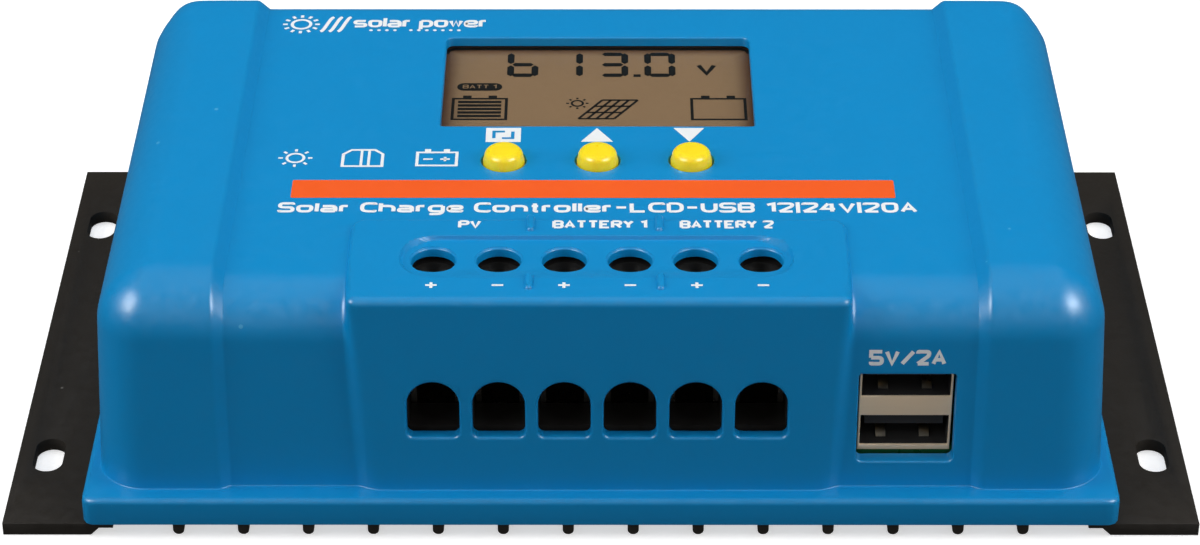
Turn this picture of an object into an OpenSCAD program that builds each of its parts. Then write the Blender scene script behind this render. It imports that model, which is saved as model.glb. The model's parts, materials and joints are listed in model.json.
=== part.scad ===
// Solar charge controller: a finned heatsink with mounting flanges, a moulded casing with a display,
// three push buttons, a six-way rising-clamp terminal block and a double USB socket.
// X is the width, Y the depth (the terminals face -Y) and Z is up. The origin is the bottom centre.

/* [Heatsink] */
// Width over the two mounting flanges
plate_w = 170; // [165:1:180]
// Depth of the heatsink
plate_d = 96; // [94:0.5:98]
// Thickness of a mounting flange
flange_t = 2; // [1.5:0.1:2.5]
// Height of the heatsink's raised table
table_top = 6; // [5.4:0.1:6]
// Thickness of the table above the fins
table_t = 2.4; // [2:0.1:2.8]
// Number of cooling fins
fin_count = 14; // [8:1:14]
// Distance between fins
fin_pitch = 9.23; // [9:0.01:9.4]
// Thickness of a fin
fin_t = 1.6; // [1:0.1:2]
// Distance between the slots of the two flanges, across the width
slot_span_x = 161; // [158:0.5:162]
// Distance between the two slots of one flange, along the depth
slot_span_y = 63; // [50:1:70]
// Width of a mounting slot
slot_w = 4.3; // [4:0.1:5]
// End-to-end length of a mounting slot
slot_len = 8; // [6:0.5:10]

/* [Casing] */
// Width of the casing's skirt
skirt_w = 147; // [146:0.5:148]
// Depth of the casing's skirt
skirt_d = 97; // [96:0.5:98]
// Height of the skirt's ledge
skirt_top = 6.4; // [6.3:0.1:7]
// Width of the casing's wall at its foot
body_w = 144.4; // [143:0.2:145]
// Height of the casing's middle panel
panel_top = 36.6; // [36:0.1:37]
// Height of the two raised ends
end_top = 38.2; // [37.8:0.1:39]
// Distance from the middle plane to the step of a raised end
end_step = 53.2; // [52:0.2:55]
// Thickness of the casing's walls
wall = 2; // [1.6:0.1:2.2]
// Corner radius of the casing's wall, seen from above
plan_r = 7; // [5:0.5:8]
// Radius along the top of the casing's front
front_r = 7; // [5:0.5:8]
// Radius along the top of the casing's sides
side_r = 8; // [6:0.5:9]
// Radius along the top of the casing's back
back_r = 3.5; // [3:0.5:5]

/* [Terminals] */
// Number of wire terminals
pole_count = 6; // [2:1:6]
// Distance between terminals
pole_pitch = 9.2; // [9.2:0.1:9.4]
// Place of the terminal row's middle, across the width
pole_mid_x = -0.5; // [-1:0.1:1]
// Place of the clamp screws, along the depth
pole_y = -32.65; // [-33:0.05:-32]
// Width of the hump over the terminals
hump_w = 69.4; // [68:0.2:71]
// Height of the hump over the terminals
hump_top = 37.2; // [37:0.1:37.6]
// Diameter of a screw access hole
access_d = 6.2; // [6:0.1:6.4]
// Width of a wire entry
entry_w = 7.4; // [7:0.1:7.6]
// Height of a wire entry's sill
entry_sill = 15.1; // [15:0.1:15.4]
// Height of a wire entry's crown
entry_crown = 24; // [23.6:0.1:24.4]
// Diameter of a clamp screw's shank
clamp_d = 4; // [3.5:0.1:4]
// Travel of a clamp cage from open to closed
clamp_travel = 3.5; // [2:0.1:3.5]

/* [Display and buttons] */
// Width of the display opening
display_w = 47; // [44:0.5:50]
// Depth of the display opening
display_d = 27; // [24:0.5:28]
// Place of the display's middle, along the depth
display_y = 17.9; // [17:0.1:19]
// Diameter of a button cap
button_d = 6.1; // [5:0.1:6.2]
// Height that a button stands above the panel
button_proud = 2; // [1.5:0.1:2.4]
// Distance between buttons
button_pitch = 13.77; // [12:0.01:14]
// Place of the button row, along the depth
button_y = -5.5; // [-6:0.1:-5]
// Travel of a button
button_travel = 0.5; // [0.3:0.05:0.6]

/* [USB socket] */
// Place of the socket's middle, across the width
usb_x = 42.9; // [42:0.1:44]
// Width of a port
port_w = 12.5; // [12.4:0.05:12.6]
// Height of a port
port_h = 5.12; // [5.05:0.01:5.2]
// Height of the bar between the two ports
port_gap = 3.2; // [3:0.1:3.4]

/* [Hidden] */
$fn = 64;
over = 1;       // how far a cutting shape runs past what it cuts
play = 0.1;     // gap between pieces that are laid side by side

// Heights, from the bottom up
fin_tip = 0.1;
web_w = 142.6;                          // width over the two webs that carry the flanges
web_t = 2;
table_d = 89.6;
board_z = 9.4;
board_t = 1.6;
board_top = board_z + board_t;
board_w = 120;
board_front = -41.6;
board_back = 24.4;
display_board_z = 27.6;
display_board_top = display_board_z + board_t;
display_board_w = 72;
display_board_front = -12.5;
display_board_back = 39.5;
ceiling = panel_top - wall;             // underside of the casing's middle panel

// Casing walls: foot and shoulder of the front and back, for the middle and for the raised ends
middle_front_foot = -44.95;
middle_front_top = -43.1;
end_front_foot = -45.8;
end_front_top = -43.9;
back_foot = 44.9;
back_shoulder = 43.6;
side_draft = 1.3;
hump_x = -0.3;
hump_front_foot = -46;
hump_front_top = -44.4;
hump_back = -22.8;
cavity_top = 6.1;
form_z = cavity_top - 0.5;              // where the casing's form starts, inside the skirt
boss_x = 65;
boss_y = 38;
boss_r = 3.3;
window_top = panel_top - 1.5;
window_t = 0.5;
display_x = pole_mid_x;

// Terminal block
housing_w = pole_pitch * pole_count + 1.6;
housing_front = -42.3;
housing_back = -24;
housing_top = 34.2;
cell_w = 7.2;
cage_w = 7;
cage_d = 8;
cage_side = 0.8;
cage_floor = 13.7;
cage_floor_t = 1.4;
cage_roof = 22.8;
cage_roof_t = 1.8;
contact_z = 20.6;
contact_t = 1.4;
shoulder_z = 28.2;
shoulder_t = 1.2;
clamp_head_d = 5.8;
clamp_head_h = 2.6;
run_gap = 0.05;                         // radial clearance of a turning or sliding fit

// Button row and its switches
button_hole_d = 6.7;
collar_d = 8.4;
collar_z = ceiling - 1.4;
switch_h = 3.3;
plunger_d = 3.5;

// USB socket
shell_t = 0.3;
shell_w = port_w + 2 * shell_t;
shell_front = -42;
shell_lip = 10.7;                       // how far down the shell's front flange reaches
usb_cut_w = 13.4;
usb_cut_low = 10.45;
usb_cut_high = 24.6;
shell_back = -26;
port_1_z = 11.5;
port_2_z = port_1_z + port_h + port_gap;
shell_top = port_2_z + port_h + 0.46;

// Power stage
transistor_count = 6;
transistor_pitch = 17;
transistor_w = 10.2;
transistor_h = 4.5;
transistor_front = 27;
transistor_back = 42;
pad_t = 0.3;
clamp_bar_xs = [-34, 0, 34];
clamp_bar_y = 33.5;
board_screw_at = [[-55, -37], [55, -37], [-55, 19], [55, 19]];
display_screw_at = [[-33, -9.5], [33, -9.5], [-33, 36.5], [33, 36.5]];

function pole_x(i) = pole_mid_x + (i - (pole_count - 1) / 2) * pole_pitch;
function fin_x(i) = (i - (fin_count - 1) / 2) * fin_pitch;
function button_x(i) = pole_mid_x + (i - 1) * button_pitch;
function transistor_x(i) = (i - (transistor_count - 1) / 2) * transistor_pitch;

// ---- shared shapes ----

// A block between two corners
module block(low, high) {
    translate(low)
    cube(high - low);
}

// A vertical round bar or bore from one height to another
module column(x, y, r, z0, z1) {
    translate([x, y, z0])
    cylinder(r = r, h = z1 - z0);
}

// A rectangle with round corners, centred at the origin
module round_rect(w, d, r) {
    union() {
        square([w - 2 * r, d], center = true);
        square([w, d - 2 * r], center = true);
        for (sx = [-1, 1], sy = [-1, 1])
            translate([sx * (w / 2 - r), sy * (d / 2 - r)])
            circle(r = r);
    }
}

// A slot along Y, cut from z0 to z1
module slot_cut(x, y, w, len, z0, z1) {
    for (s = [-1, 1])
        column(x, y + s * (len - w) / 2, w / 2, z0, z1);
    block([x - w / 2, y - (len - w) / 2, z0], [x + w / 2, y + (len - w) / 2, z1]);
}

// A pan-head screw that points down from its seat, with a cross recess in the head
module pan_screw(x, y, seat_z, shank_r, head_r, head_h, shank_len) {
    difference() {
        union() {
            column(x, y, head_r, seat_z, seat_z + head_h);
            column(x, y, shank_r, seat_z - shank_len, seat_z);
        }
        for (a = [0, 90])
            translate([x, y, seat_z + head_h])
            rotate([0, 0, a])
            cube([head_r * 1.2, head_r * 0.28, head_h], center = true);
    }
}

// ---- heatsink ----

module heatsink_profile() {
    flange_inner = web_w / 2 + 1.2;
    for (s = [-1, 1])
        scale([s, 1]) {
            translate([flange_inner, 0])
            square([plate_w / 2 - flange_inner, flange_t]);
            polygon([[web_w / 2 - web_t, 1.2], [web_w / 2, 1.2], [flange_inner, 0],
                [flange_inner, flange_t], [web_w / 2, flange_t], [web_w / 2 - web_t, flange_t]]);
        }
    for (i = [0 : fin_count - 1])
        translate([fin_x(i), 0])
        union() {
            translate([-fin_t / 2, fin_tip + fin_t / 2])
            square([fin_t, flange_t - fin_tip - fin_t / 2]);
            translate([0, fin_tip + fin_t / 2])
            circle(d = fin_t);
        }
}

module heatsink_table() {
    translate([0, flange_t])
    for (s = [-1, 1])
        translate([s * (web_w - web_t) / 2 - web_t / 2, 0])
        square([web_t, table_top - flange_t]);
    translate([-web_w / 2, table_top - table_t])
    square([web_w, table_t]);
    for (i = [0 : fin_count - 1])
        translate([fin_x(i) - fin_t / 2, flange_t - 0.5])
        square([fin_t, table_top - flange_t]);
}

module heatsink() {
    color([0.14, 0.13, 0.12])
    difference() {
        union() {
            translate([0, plate_d / 2, 0])
            rotate([90, 0, 0])
            linear_extrude(height = plate_d)
            heatsink_profile();
            translate([0, table_d / 2, 0])
            rotate([90, 0, 0])
            linear_extrude(height = table_d)
            heatsink_table();
        }
        for (sx = [-1, 1], sy = [-1, 1]) {
            slot_cut(sx * slot_span_x / 2, sy * slot_span_y / 2, slot_w, slot_len, -over, flange_t + over);
            column(sx * boss_x, sy * boss_y, 1.7, -over, table_top + over);
        }
        for (p = board_screw_at)
            column(p[0], p[1], 1.55, table_top - table_t + 0.2, table_top + over);
        for (x = clamp_bar_xs)
            column(x, clamp_bar_y, 1.55, table_top - table_t + 0.2, table_top + over);
    }
}

// ---- casing ----

// Side view of the casing: drafted front and back, rounded into the top
module side_view(front_foot, front_top, rear_foot, rear_top, top, r_front, r_rear, z0) {
    union() {
        polygon([[front_foot, z0], [front_top, top - r_front], [front_top + r_front, top],
            [rear_top - r_rear, top], [rear_top, top - r_rear], [rear_foot, z0]]);
        translate([front_top + r_front, top - r_front])
        circle(r = r_front);
        translate([rear_top - r_rear, top - r_rear])
        circle(r = r_rear);
    }
}

// Front view of the casing, with both top edges rounded
module front_view(w, top, r, z0) {
    side_view(-w / 2, side_draft - w / 2, w / 2, w / 2 - side_draft, top, r, r, z0);
}

// Extrudes a side view along X, between two places
module along_x(x0, x1) {
    translate([x0, 0, 0])
    rotate([90, 0, 90])
    linear_extrude(height = x1 - x0)
    children();
}

// The casing's outer form above its skirt, made smaller all round by inset
module casing_form(inset) {
    intersection() {
        union() {
            along_x(-end_step - inset, end_step + inset)
            side_view(middle_front_foot + inset, middle_front_top + inset, back_foot - inset,
                back_shoulder - inset, panel_top - inset, front_r - inset, back_r - inset, form_z);
            for (s = [-1, 1])
                along_x(s > 0 ? end_step + inset : -skirt_w / 2, s > 0 ? skirt_w / 2 : -end_step - inset)
                side_view(end_front_foot + inset, end_front_top + inset, back_foot - inset,
                    back_shoulder - inset, end_top - inset, front_r + 1 - inset, back_r - inset, form_z);
        }
        translate([0, skirt_d / 2, 0])
        rotate([90, 0, 0])
        linear_extrude(height = skirt_d)
        front_view(body_w - 2 * inset, end_top - inset, side_r - inset, form_z);
        translate([0, (back_foot + end_front_foot) / 2, 0])
        linear_extrude(height = end_top + over)
        round_rect(body_w - 2 * inset, back_foot - end_front_foot - 2 * inset, plan_r - inset);
    }
}

// The hump over the terminal block, made smaller all round by inset
module hump_form(inset) {
    along_x(hump_x - hump_w / 2 + inset, hump_x + hump_w / 2 - inset)
    polygon([[hump_front_foot + inset, form_z], [hump_front_top + inset, hump_top - inset],
        [hump_back, hump_top - inset], [hump_back, form_z]]);
}

// Outline of one wire entry: flat sill, round crown
module entry_outline() {
    r = entry_w / 2;
    union() {
        translate([-r, entry_sill])
        square([entry_w, entry_crown - r - entry_sill]);
        translate([0, entry_crown - r])
        circle(r = r);
    }
}

module casing_cuts() {
    // Display opening, and the rebate under it that holds the window
    block([display_x - display_w / 2, display_y - display_d / 2, ceiling - over],
        [display_x + display_w / 2, display_y + display_d / 2, panel_top + over]);
    block([display_x - display_w / 2 - 2.4, display_y - display_d / 2 - 2.4, ceiling - over],
        [display_x + display_w / 2 + 2.4, display_y + display_d / 2 + 2.4, window_top]);
    for (i = [0 : 2])
        column(button_x(i), button_y, button_hole_d / 2, ceiling - over, panel_top + over);
    for (i = [0 : pole_count - 1]) {
        column(pole_x(i), pole_y, access_d / 2, ceiling - over, hump_top + over);
        translate([pole_x(i), housing_front + over, 0])
        rotate([90, 0, 0])
        linear_extrude(height = 6)
        entry_outline();
    }
    // USB opening, and the pocket behind it that takes the socket's front
    block([usb_x - usb_cut_w / 2, middle_front_foot - over, usb_cut_low],
        [usb_x + usb_cut_w / 2, -40, usb_cut_high]);
    block([usb_x - shell_w / 2 - play, shell_front - play, board_z],
        [usb_x + shell_w / 2 + play, -40, shell_top + play]);
}

module casing() {
    color([0, 0.5, 0.76])
    difference() {
        union() {
            difference() {
                union() {
                    translate([0, 0, flange_t])
                    linear_extrude(height = skirt_top - flange_t)
                    round_rect(skirt_w, skirt_d, 1.5);
                    casing_form(0);
                    hump_form(0);
                }
                block([-web_w / 2 - 0.2, -table_d / 2 - 0.2, flange_t - over],
                    [web_w / 2 + 0.2, table_d / 2 + 0.2, cavity_top]);
                casing_form(wall);
                hump_form(wall);
                casing_cuts();
            }
            intersection() {
                for (sx = [-1, 1], sy = [-1, 1])
                    column(sx * boss_x, sy * boss_y, boss_r, table_top + play, end_top);
                casing_form(wall / 2);
            }
            for (p = display_screw_at)
                column(p[0], p[1], 3, display_board_top, ceiling + wall / 2);
        }
        for (sx = [-1, 1], sy = [-1, 1])
            column(sx * boss_x, sy * boss_y, 1.55, table_top, 20);
        for (p = display_screw_at)
            column(p[0], p[1], 1.15, display_board_top - over, ceiling - 0.6);
    }
}

module casing_screws() {
    color([0.75, 0.75, 0.77])
    for (sx = [-1, 1], sy = [-1, 1])
        translate([sx * boss_x, sy * boss_y, 0])
        mirror([0, 0, 1])
        pan_screw(0, 0, table_t - table_top, 1.5, 2.8, 2, 14);
}

// ---- display ----

module display_window() {
    color([0.8, 0.85, 0.85, 0.4])
    block([display_x - display_w / 2 - 2.3, display_y - display_d / 2 - 2.3, window_top - window_t],
        [display_x + display_w / 2 + 2.3, display_y + display_d / 2 + 2.3, window_top]);
}

module lcd_block(grow, z0, z1) {
    block([display_x - display_w / 2 - grow, display_y - display_d / 2 - grow, z0],
        [display_x + display_w / 2 + grow, display_y + display_d / 2 + grow, z1]);
}

module lcd_glass() {
    color([0.5, 0.45, 0.36])
    lcd_block(1.5, display_board_top + 2.1, window_top - window_t - play);
}

module backlight_panel() {
    color([0.9, 0.9, 0.86])
    lcd_block(1.5, display_board_top, display_board_top + 2);
}

module lcd_frame() {
    color([0.1, 0.1, 0.1])
    difference() {
        lcd_block(4, display_board_top, window_top - window_t - play);
        lcd_block(1.6, display_board_top - over, window_top);
    }
}

// Comb of pins from the glass's back edge down to the display board
module lcd_pins() {
    color([0.8, 0.8, 0.78])
    for (i = [0 : 19])
        translate([display_x - 19 + 2 * i, display_y + display_d / 2 + 4.2, display_board_z - 0.8])
        cube([0.4, 0.5, 5.4]);
}

module display_board() {
    color([0.05, 0.3, 0.16])
    difference() {
        block([-display_board_w / 2, display_board_front, display_board_z],
            [display_board_w / 2, display_board_back, display_board_top]);
        for (p = display_screw_at)
            column(p[0], p[1], 1.3, display_board_z - over, display_board_top + over);
        block([display_x - 19.2, display_y + display_d / 2 + 4, display_board_z - over],
            [display_x + 19.6, display_y + display_d / 2 + 4.9, display_board_top + over]);
    }
}

module display_board_screws() {
    color([0.75, 0.75, 0.77])
    for (p = display_screw_at)
        translate([p[0], p[1], 0])
        mirror([0, 0, 1])
        pan_screw(0, 0, -display_board_z, 1.1, 2, 1.5, 5.5);
}

module display_driver() {
    color([0.08, 0.08, 0.09])
    block([-6, 12, display_board_z - 1.4], [6, 24, display_board_z]);
}

// ---- buttons ----

module button_cap(i) {
    color([0.95, 0.8, 0.05])
    union() {
        column(button_x(i), button_y, button_d / 2, collar_z, panel_top + button_proud);
        column(button_x(i), button_y, collar_d / 2, collar_z, ceiling - play);
    }
}

module plunger(i) {
    color([0.15, 0.15, 0.15])
    column(button_x(i), button_y, plunger_d / 2, display_board_top + button_travel + 0.3, collar_z);
}

module menu_button() { button_cap(0); }
module up_button() { button_cap(1); }
module down_button() { button_cap(2); }
module menu_plunger() { plunger(0); }
module up_plunger() { plunger(1); }
module down_plunger() { plunger(2); }

module button_switches() {
    color([0.2, 0.2, 0.22])
    for (i = [0 : 2])
        difference() {
            block([button_x(i) - 3, button_y - 3, display_board_top],
                [button_x(i) + 3, button_y + 3, display_board_top + switch_h]);
            column(button_x(i), button_y, plunger_d / 2 + run_gap, display_board_top + 0.2,
                display_board_top + switch_h + over);
        }
}

// ---- main board ----

module main_board() {
    color([0.05, 0.3, 0.16])
    difference() {
        block([-board_w / 2, board_front, board_z], [board_w / 2, board_back, board_top]);
        for (p = board_screw_at)
            column(p[0], p[1], 1.6, board_z - over, board_top + over);
        for (i = [0 : pole_count - 1])
            block([pole_x(i) - 1.7, housing_back, board_z - over],
                [pole_x(i) + 1.7, housing_back + 1.5, board_top + over]);
        for (i = [0 : transistor_count - 1])
            block([transistor_x(i) - 3.2, 22, board_z - over],
                [transistor_x(i) + 3.2, 23, board_top + over]);
    }
}

module main_board_screws() {
    color([0.75, 0.75, 0.77])
    for (p = board_screw_at)
        pan_screw(p[0], p[1], board_top, 1.5, 2.8, 2, 7);
}

module board_spacers() {
    color([0.8, 0.65, 0.3])
    for (p = board_screw_at)
        difference() {
            column(p[0], p[1], 2.8, table_top, board_z);
            column(p[0], p[1], 1.55, table_top - over, board_z + over);
        }
}

module link_socket() {
    color([0.1, 0.1, 0.1])
    block([25.5, 2, board_top], [30.5, 24, board_top + 8.5]);
}

module link_header() {
    color([0.12, 0.12, 0.12])
    block([25.5, 2, board_top + 8.5], [30.5, 24, display_board_z]);
}

module capacitors() {
    color([0.15, 0.2, 0.35])
    for (p = [[-48, -26], [-48, -6], [50, 4]])
        column(p[0], p[1], 8, board_top, board_top + 20);
}

module inductor() {
    color([0.2, 0.2, 0.2])
    union() {
        column(50, -14, 6, board_top, board_top + 1.5);
        column(50, -14, 4, board_top + 1.5, board_top + 6.5);
        column(50, -14, 6, board_top + 6.5, board_top + 8);
    }
}

module diodes() {
    color([0.1, 0.1, 0.1])
    for (x = [-24, 0, 18])
        block([x - 3.5, -15, board_top], [x + 3.5, -9, board_top + 2.4]);
}

// Two bent strips that measure the current
module current_shunts() {
    color([0.7, 0.5, 0.4])
    for (x = [-26, 14])
        difference() {
            block([x - 8, -5.5, board_top], [x + 8, -2.5, board_top + 4]);
            block([x - 7, -5.5 - over, board_top - over], [x + 7, -2.5 + over, board_top + 3]);
        }
}

module microcontroller() {
    color([0.08, 0.08, 0.09])
    block([-8, 4, board_top], [2, 14, board_top + 1.5]);
}

module temperature_sensor() {
    color([0.1, 0.1, 0.12])
    block([56, 26, table_top], [60.5, 30, table_top + 3]);
}

// ---- power stage ----

// One flat power package: a body on the pad, and leads that run under the board and up through it
module power_transistor(x) {
    floor_z = table_top + pad_t;
    union() {
        block([x - transistor_w / 2, transistor_front, floor_z],
            [x + transistor_w / 2, transistor_back, floor_z + transistor_h]);
        for (k = [-1 : 1]) {
            block([x + k * 2.54 - 0.4, 22.2, board_z - 0.8],
                [x + k * 2.54 + 0.4, transistor_front, board_z - 0.3]);
            block([x + k * 2.54 - 0.4, 22.2, board_z - 0.8],
                [x + k * 2.54 + 0.4, 22.7, board_top + 0.8]);
        }
    }
}

module power_transistors() {
    color([0.12, 0.12, 0.13])
    for (i = [0 : transistor_count - 1])
        power_transistor(transistor_x(i));
}

module thermal_pad() {
    color([0.75, 0.75, 0.8])
    difference() {
        block([-52, 26.5, table_top], [52, 42.3, table_top + pad_t]);
        for (x = clamp_bar_xs)
            column(x, clamp_bar_y, 1.7, table_top - over, table_top + 2);
    }
}

module clamp_bar() {
    bar_z = table_top + pad_t + transistor_h;
    color([0.7, 0.7, 0.72])
    difference() {
        block([-50, 30, bar_z], [50, 37, bar_z + 2.5]);
        for (x = clamp_bar_xs)
            column(x, clamp_bar_y, 1.6, bar_z - over, bar_z + 2.5 + over);
    }
}

module clamp_bar_screws() {
    color([0.75, 0.75, 0.77])
    for (x = clamp_bar_xs)
        pan_screw(x, clamp_bar_y, table_top + pad_t + transistor_h + 2.5, 1.5, 2.8, 2, 9);
}

// ---- terminals ----

module terminal_housing() {
    mid = pole_mid_x;
    color([0.12, 0.13, 0.14])
    difference() {
        block([mid - housing_w / 2, housing_front, board_top], [mid + housing_w / 2, housing_back, housing_top]);
        for (i = [0 : pole_count - 1]) {
            x = pole_x(i);
            block([x - cell_w / 2, housing_front - over, entry_sill], [x + cell_w / 2, pole_y, entry_crown]);
            block([x - cell_w / 2, pole_y - cage_d / 2 - 0.2, cage_floor - 0.2],
                [x + cell_w / 2, pole_y + cage_d / 2 + 0.2, shoulder_z]);
            block([x - 2.6, pole_y, contact_z - play], [x + 2.6, housing_back + over,
                contact_z + contact_t + play]);
            column(x, pole_y, clamp_d / 2 + 0.15, shoulder_z - over, housing_top);
            column(x, pole_y, access_d / 2 + 0.1, shoulder_z + shoulder_t, housing_top + over);
        }
    }
}

// A clamp screw that turns in place, with a straight slot in its head
module terminal_screw(i) {
    seat = shoulder_z + shoulder_t;
    color([0.78, 0.78, 0.76])
    difference() {
        union() {
            column(pole_x(i), pole_y, clamp_head_d / 2, seat, seat + clamp_head_h);
            column(pole_x(i), pole_y, clamp_d / 2, contact_z + contact_t + run_gap, seat);
        }
        translate([pole_x(i), pole_y, seat + clamp_head_h])
        cube([clamp_head_d + over, 0.9, 2.2], center = true);
    }
}

// The rising cage that lifts the wire against the contact bar
module clamp_cage(i) {
    x = pole_x(i);
    color([0.8, 0.78, 0.7])
    difference() {
        block([x - cage_w / 2, pole_y - cage_d / 2, cage_floor],
            [x + cage_w / 2, pole_y + cage_d / 2, cage_roof + cage_roof_t]);
        block([x - cage_w / 2 + cage_side, pole_y - cage_d / 2 - over, cage_floor + cage_floor_t],
            [x + cage_w / 2 - cage_side, pole_y + cage_d / 2 + over, cage_roof]);
        column(x, pole_y, clamp_d / 2 + run_gap, cage_roof - over, cage_roof + cage_roof_t + over);
    }
}

module terminal_screw_1() { terminal_screw(0); }
module terminal_screw_2() { terminal_screw(1); }
module terminal_screw_3() { terminal_screw(2); }
module terminal_screw_4() { terminal_screw(3); }
module terminal_screw_5() { terminal_screw(4); }
module terminal_screw_6() { terminal_screw(5); }
module clamp_cage_1() { clamp_cage(0); }
module clamp_cage_2() { clamp_cage(1); }
module clamp_cage_3() { clamp_cage(2); }
module clamp_cage_4() { clamp_cage(3); }
module clamp_cage_5() { clamp_cage(4); }
module clamp_cage_6() { clamp_cage(5); }

// Six bars that the wires are pressed against, each with a tail soldered in the board
module contact_bars() {
    color([0.8, 0.6, 0.4])
    for (i = [0 : pole_count - 1])
        union() {
            block([pole_x(i) - 2.5, pole_y - 3, contact_z],
                [pole_x(i) + 2.5, housing_back + 1.2, contact_z + contact_t]);
            block([pole_x(i) - 1.5, housing_back + 0.2, board_z - 0.8],
                [pole_x(i) + 1.5, housing_back + 1.2, contact_z + contact_t]);
        }
}

// ---- USB socket ----

module usb_shell() {
    color([0.75, 0.7, 0.6])
    difference() {
        union() {
            block([usb_x - shell_w / 2, shell_front, board_top], [usb_x + shell_w / 2, shell_back, shell_top]);
            block([usb_x - shell_w / 2, shell_front, shell_lip],
                [usb_x + shell_w / 2, shell_front + shell_t, board_top]);
        }
        for (z = [port_1_z, port_2_z])
            block([usb_x - port_w / 2, shell_front - over, z], [usb_x + port_w / 2, shell_back - 1, z + port_h]);
    }
}

// The two tongues and the block that carries them
module usb_insulator() {
    color([0.08, 0.08, 0.08])
    for (z = [port_1_z, port_2_z])
        union() {
            block([usb_x - port_w / 2, shell_back - 5, z], [usb_x + port_w / 2, shell_back - 1, z + port_h]);
            block([usb_x - 5.55, shell_front + 1.2, z + 2.9], [usb_x + 5.55, shell_back - 5, z + 4.7]);
        }
}

module usb_contacts() {
    color([0.85, 0.7, 0.35])
    for (z = [port_1_z, port_2_z], k = [-1.5 : 1 : 1.5])
        block([usb_x + k * 2.3 - 0.5, shell_front + 2.2, z + 2.7],
            [usb_x + k * 2.3 + 0.5, shell_back - 5, z + 2.9]);
}

heatsink();
casing();
casing_screws();
display_window();
lcd_glass();
lcd_frame();
backlight_panel();
lcd_pins();
display_board();
display_board_screws();
display_driver();
menu_button();
up_button();
down_button();
menu_plunger();
up_plunger();
down_plunger();
button_switches();
main_board();
main_board_screws();
board_spacers();
link_socket();
link_header();
terminal_housing();
terminal_screw_1();
terminal_screw_2();
terminal_screw_3();
terminal_screw_4();
terminal_screw_5();
terminal_screw_6();
clamp_cage_1();
clamp_cage_2();
clamp_cage_3();
clamp_cage_4();
clamp_cage_5();
clamp_cage_6();
contact_bars();
usb_shell();
usb_insulator();
usb_contacts();
power_transistors();
thermal_pad();
clamp_bar();
clamp_bar_screws();
capacitors();
inductor();
diodes();
current_shunts();
microcontroller();
temperature_sensor();
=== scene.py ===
"""Looks of a solar charge controller: blue moulded casing on a finned black heatsink.

Lengths are in millimetres and become metres where meshes are made. X is the width, Y the depth
(terminals and USB socket face -Y), Z is up, and the origin is the bottom centre.
"""
import json
import math

import bmesh
import bpy
import numpy as np
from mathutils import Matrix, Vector

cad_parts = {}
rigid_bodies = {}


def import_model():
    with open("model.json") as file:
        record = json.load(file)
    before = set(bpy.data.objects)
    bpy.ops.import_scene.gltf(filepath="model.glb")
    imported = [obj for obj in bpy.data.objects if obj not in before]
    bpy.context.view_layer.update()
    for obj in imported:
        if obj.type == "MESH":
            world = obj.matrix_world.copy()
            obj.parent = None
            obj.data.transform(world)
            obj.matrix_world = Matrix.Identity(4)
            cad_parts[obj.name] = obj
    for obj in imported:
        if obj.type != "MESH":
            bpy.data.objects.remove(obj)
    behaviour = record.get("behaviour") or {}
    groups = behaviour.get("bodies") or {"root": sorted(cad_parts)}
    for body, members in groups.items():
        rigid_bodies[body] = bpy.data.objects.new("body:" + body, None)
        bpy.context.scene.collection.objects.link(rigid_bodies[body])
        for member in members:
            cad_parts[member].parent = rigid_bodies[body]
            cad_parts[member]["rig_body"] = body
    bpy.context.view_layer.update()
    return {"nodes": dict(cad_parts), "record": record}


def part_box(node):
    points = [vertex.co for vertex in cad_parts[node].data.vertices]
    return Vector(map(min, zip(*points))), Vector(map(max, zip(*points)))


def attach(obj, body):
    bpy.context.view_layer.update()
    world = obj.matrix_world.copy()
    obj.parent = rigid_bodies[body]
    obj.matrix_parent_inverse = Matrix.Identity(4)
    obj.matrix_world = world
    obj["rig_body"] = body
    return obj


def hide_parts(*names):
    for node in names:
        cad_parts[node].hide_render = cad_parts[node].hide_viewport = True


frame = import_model()

MM = 0.001
WELD = 0.0005                               # points closer than this are one, in millimetres
BODY = "controller"


def node_box(node):
    """Lowest and highest corner of a CAD node, in millimetres."""
    low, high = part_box(node)
    return np.array(low) / MM, np.array(high) / MM


# ---- driving sizes, from the frame where it has them ----

casing_low, casing_high = node_box("casing")
window_low, window_high = node_box("display_window")
glass_high = node_box("lcd_glass")[1]
button_boxes = [node_box(name + "_button") for name in ("menu", "up", "down")]
shell_low, shell_high = node_box("usb_shell")

SKIRT_HALF = casing_high[:2].copy()         # half width and half depth of the skirt
SKIRT_LOW = casing_low[2]
SKIRT_TOP = 6.4
SKIRT_R = 1.5
LEDGE_R = 0.9
END_TOP = casing_high[2]
PANEL_TOP = END_TOP - 1.6
STEP_IN, STEP_OUT = 52.4, 54.0              # the bevel between the panel and a raised end
WALL = 2.0
WALL_TOP = 29.6                             # height at which the tops of the drafted walls are given
HALF_FOOT, HALF_TOP = 71.6, 70.6
FRONT_MIDDLE = (-44.95, -43.1)              # front wall, at its foot and at WALL_TOP
FRONT_END = (-45.8, -43.9)
BACK = (44.9, 43.6)
PLAN_R = 7.0
FRONT_R, SIDE_R, BACK_R = 7.0, 8.0, 3.5

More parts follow.
